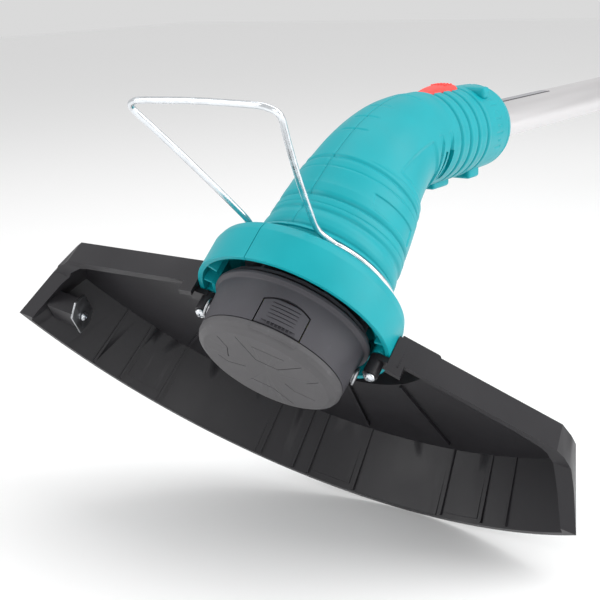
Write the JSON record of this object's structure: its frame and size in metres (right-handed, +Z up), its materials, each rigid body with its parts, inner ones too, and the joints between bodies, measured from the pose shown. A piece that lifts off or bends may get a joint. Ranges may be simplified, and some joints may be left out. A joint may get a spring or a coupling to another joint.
{
  "type": "string trimmer",
  "caption": "Cordless string trimmer with curved neck, drum spool head, swept guard with line cutter, wire edge guide, telescopic tube, loop handle, trigger grip and slide-on battery.",
  "frame": {"origin": "centre of the bounding box's bottom face, on the floor the trimmer lies on", "axes": "+X along the shaft towards the cutting head, +Y the head's left side, +Z up from the floor"},
  "size_m": [1.271, 0.3418, 0.3824],
  "materials": {
    "teal_shell": "satin moulded",
    "guard_black": "satin moulded",
    "black_plastic": "fine grain",
    "rubber_black": "matte",
    "red_plastic": "fine grain",
    "tube_alloy": "satin anodised",
    "zinc_steel": "bright zinc plated",
    "bare_steel": "bare",
    "contact_brass": "bare",
    "line_nylon": "clear yellow",
    "cell_wrap": "shrink wrap"
  },
  "bodies": {
    "handle": {"upper_tube": "tube_alloy", "clamp_body": "teal_shell", "clamp_pin": "zinc_steel", "aux_base": "black_plastic", "aux_bolt": "zinc_steel", "handle_shell_left": "teal_shell", "handle_shell_right": "teal_shell", "handle_screw_1": "zinc_steel", "handle_screw_2": "zinc_steel", "handle_screw_3": "zinc_steel", "trigger_pin": "bare_steel", "switch_body": "black_plastic", "terminal_block": "contact_brass", "power_cable": "rubber_black", "lock_spring": "bare_steel", "trigger_spring": "bare_steel"},
    "telescope": {"lower_tube": "tube_alloy", "swivel_bush": "black_plastic"},
    "head": {"neck_shell_left": "teal_shell", "neck_shell_right": "teal_shell", "neck_screw_1": "zinc_steel", "neck_screw_2": "zinc_steel", "neck_screw_3": "zinc_steel", "motor": "bare_steel", "motor_cover": "black_plastic", "guard": "guard_black", "guard_screw_1": "zinc_steel", "guard_screw_2": "zinc_steel", "cutter_blade": "bare_steel", "blade_screw": "zinc_steel", "swivel_spring": "bare_steel"},
    "wire": {"wire_guard": "zinc_steel"},
    "button": {"swivel_button": "red_plastic"},
    "spool": {"motor_shaft": "bare_steel", "cooling_fan": "black_plastic", "spool_housing": "black_plastic", "spool_cap": "black_plastic", "inner_spool": "red_plastic", "line_coil": "line_nylon", "feed_spring": "bare_steel", "line_eyelet_1": "bare_steel", "line_eyelet_2": "bare_steel"},
    "latch_1": {"cap_latch_1": "black_plastic"},
    "latch_2": {"cap_latch_2": "black_plastic"},
    "lever": {"clamp_lever": "black_plastic"},
    "loop": {"aux_loop": "rubber_black"},
    "knob": {"aux_knob": "black_plastic"},
    "trigger": {"trigger": "black_plastic"},
    "lock": {"lock_button": "red_plastic"},
    "battery": {"battery_case": "black_plastic", "battery_base": "teal_shell", "cell_pack": "cell_wrap", "latch_spring": "bare_steel"},
    "battery_button": {"battery_latch": "red_plastic"}
  },
  "joints": [
    {"name": "telescope_slide", "type": "slide", "parent": "handle", "child": "telescope", "axis": [1, 0, 0], "range_m": [-0.18, 0.1]},
    {"name": "head_swivel", "type": "hinge", "parent": "telescope", "child": "head", "pos_m": [0.39249, 0.03004, 0.22491], "axis": [1, 0, 0], "range_deg": [0, 180]},
    {"name": "wire_swing", "type": "hinge", "parent": "head", "child": "wire", "pos_m": [0.5406, 0.03004, 0.16228], "axis": [-0.7541, 0, 0.6567], "range_deg": [-90, 90]},
    {"name": "swivel_button_press", "type": "slide", "parent": "head", "child": "button", "axis": [0, 0, -1], "range_m": [0, 0.003], "stiffness_N_per_m": 900, "springref_m": -0.002, "deforming": ["swivel_spring"]},
    {"name": "spool_spin", "type": "hinge", "parent": "head", "child": "spool", "pos_m": [0.566, 0.03004, 0.14348], "axis": [-0.7541, 0, 0.6567], "continuous": true},
    {"name": "latch_1_press", "type": "slide", "parent": "spool", "child": "latch_1", "axis": [-0.5539, -0.5373, -0.636], "range_m": [0, 0.0025], "stiffness_N_per_m": 900, "springref_m": -0.001},
    {"name": "latch_2_press", "type": "slide", "parent": "spool", "child": "latch_2", "axis": [0.5539, 0.5373, 0.636], "range_m": [0, 0.0025], "stiffness_N_per_m": 900, "springref_m": -0.001},
    {"name": "clamp_lever_open", "type": "hinge", "parent": "handle", "child": "lever", "pos_m": [0.05049, 0.03004, 0.25391], "axis": [0, 1, 0], "range_deg": [0, 120]},
    {"name": "aux_loop_tilt", "type": "hinge", "parent": "handle", "child": "loop", "pos_m": [-0.18251, 0.03004, 0.25791], "axis": [0, 1, 0], "range_deg": [-35, 35]},
    {"name": "aux_knob_turn", "type": "hinge", "parent": "handle", "child": "knob", "pos_m": [-0.18251, 0.03004, 0.25791], "axis": [0, 1, 0], "continuous": true},
    {"name": "trigger_pull", "type": "hinge", "parent": "handle", "child": "trigger", "pos_m": [-0.44075, 0.03004, 0.19318], "axis": [0, 1, 0], "range_deg": [0, 9], "stiffness_Nm_per_rad": 0.6, "springref_deg": -5.73, "deforming": ["trigger_spring"]},
    {"name": "lock_button_press", "type": "slide", "parent": "handle", "child": "lock", "axis": [0.5878, 0, -0.809], "range_m": [0, 0.003], "stiffness_N_per_m": 700, "springref_m": -0.002, "deforming": ["lock_spring"]},
    {"name": "battery_slide", "type": "slide", "parent": "handle", "child": "battery", "axis": [-1, 0, 0], "range_m": [0, 0.115]},
    {"name": "battery_button_press", "type": "slide", "parent": "battery", "child": "battery_button", "axis": [-1, 0, 0], "range_m": [0, 0.003], "stiffness_N_per_m": 700, "springref_m": -0.002, "deforming": ["latch_spring"]}
  ]
}
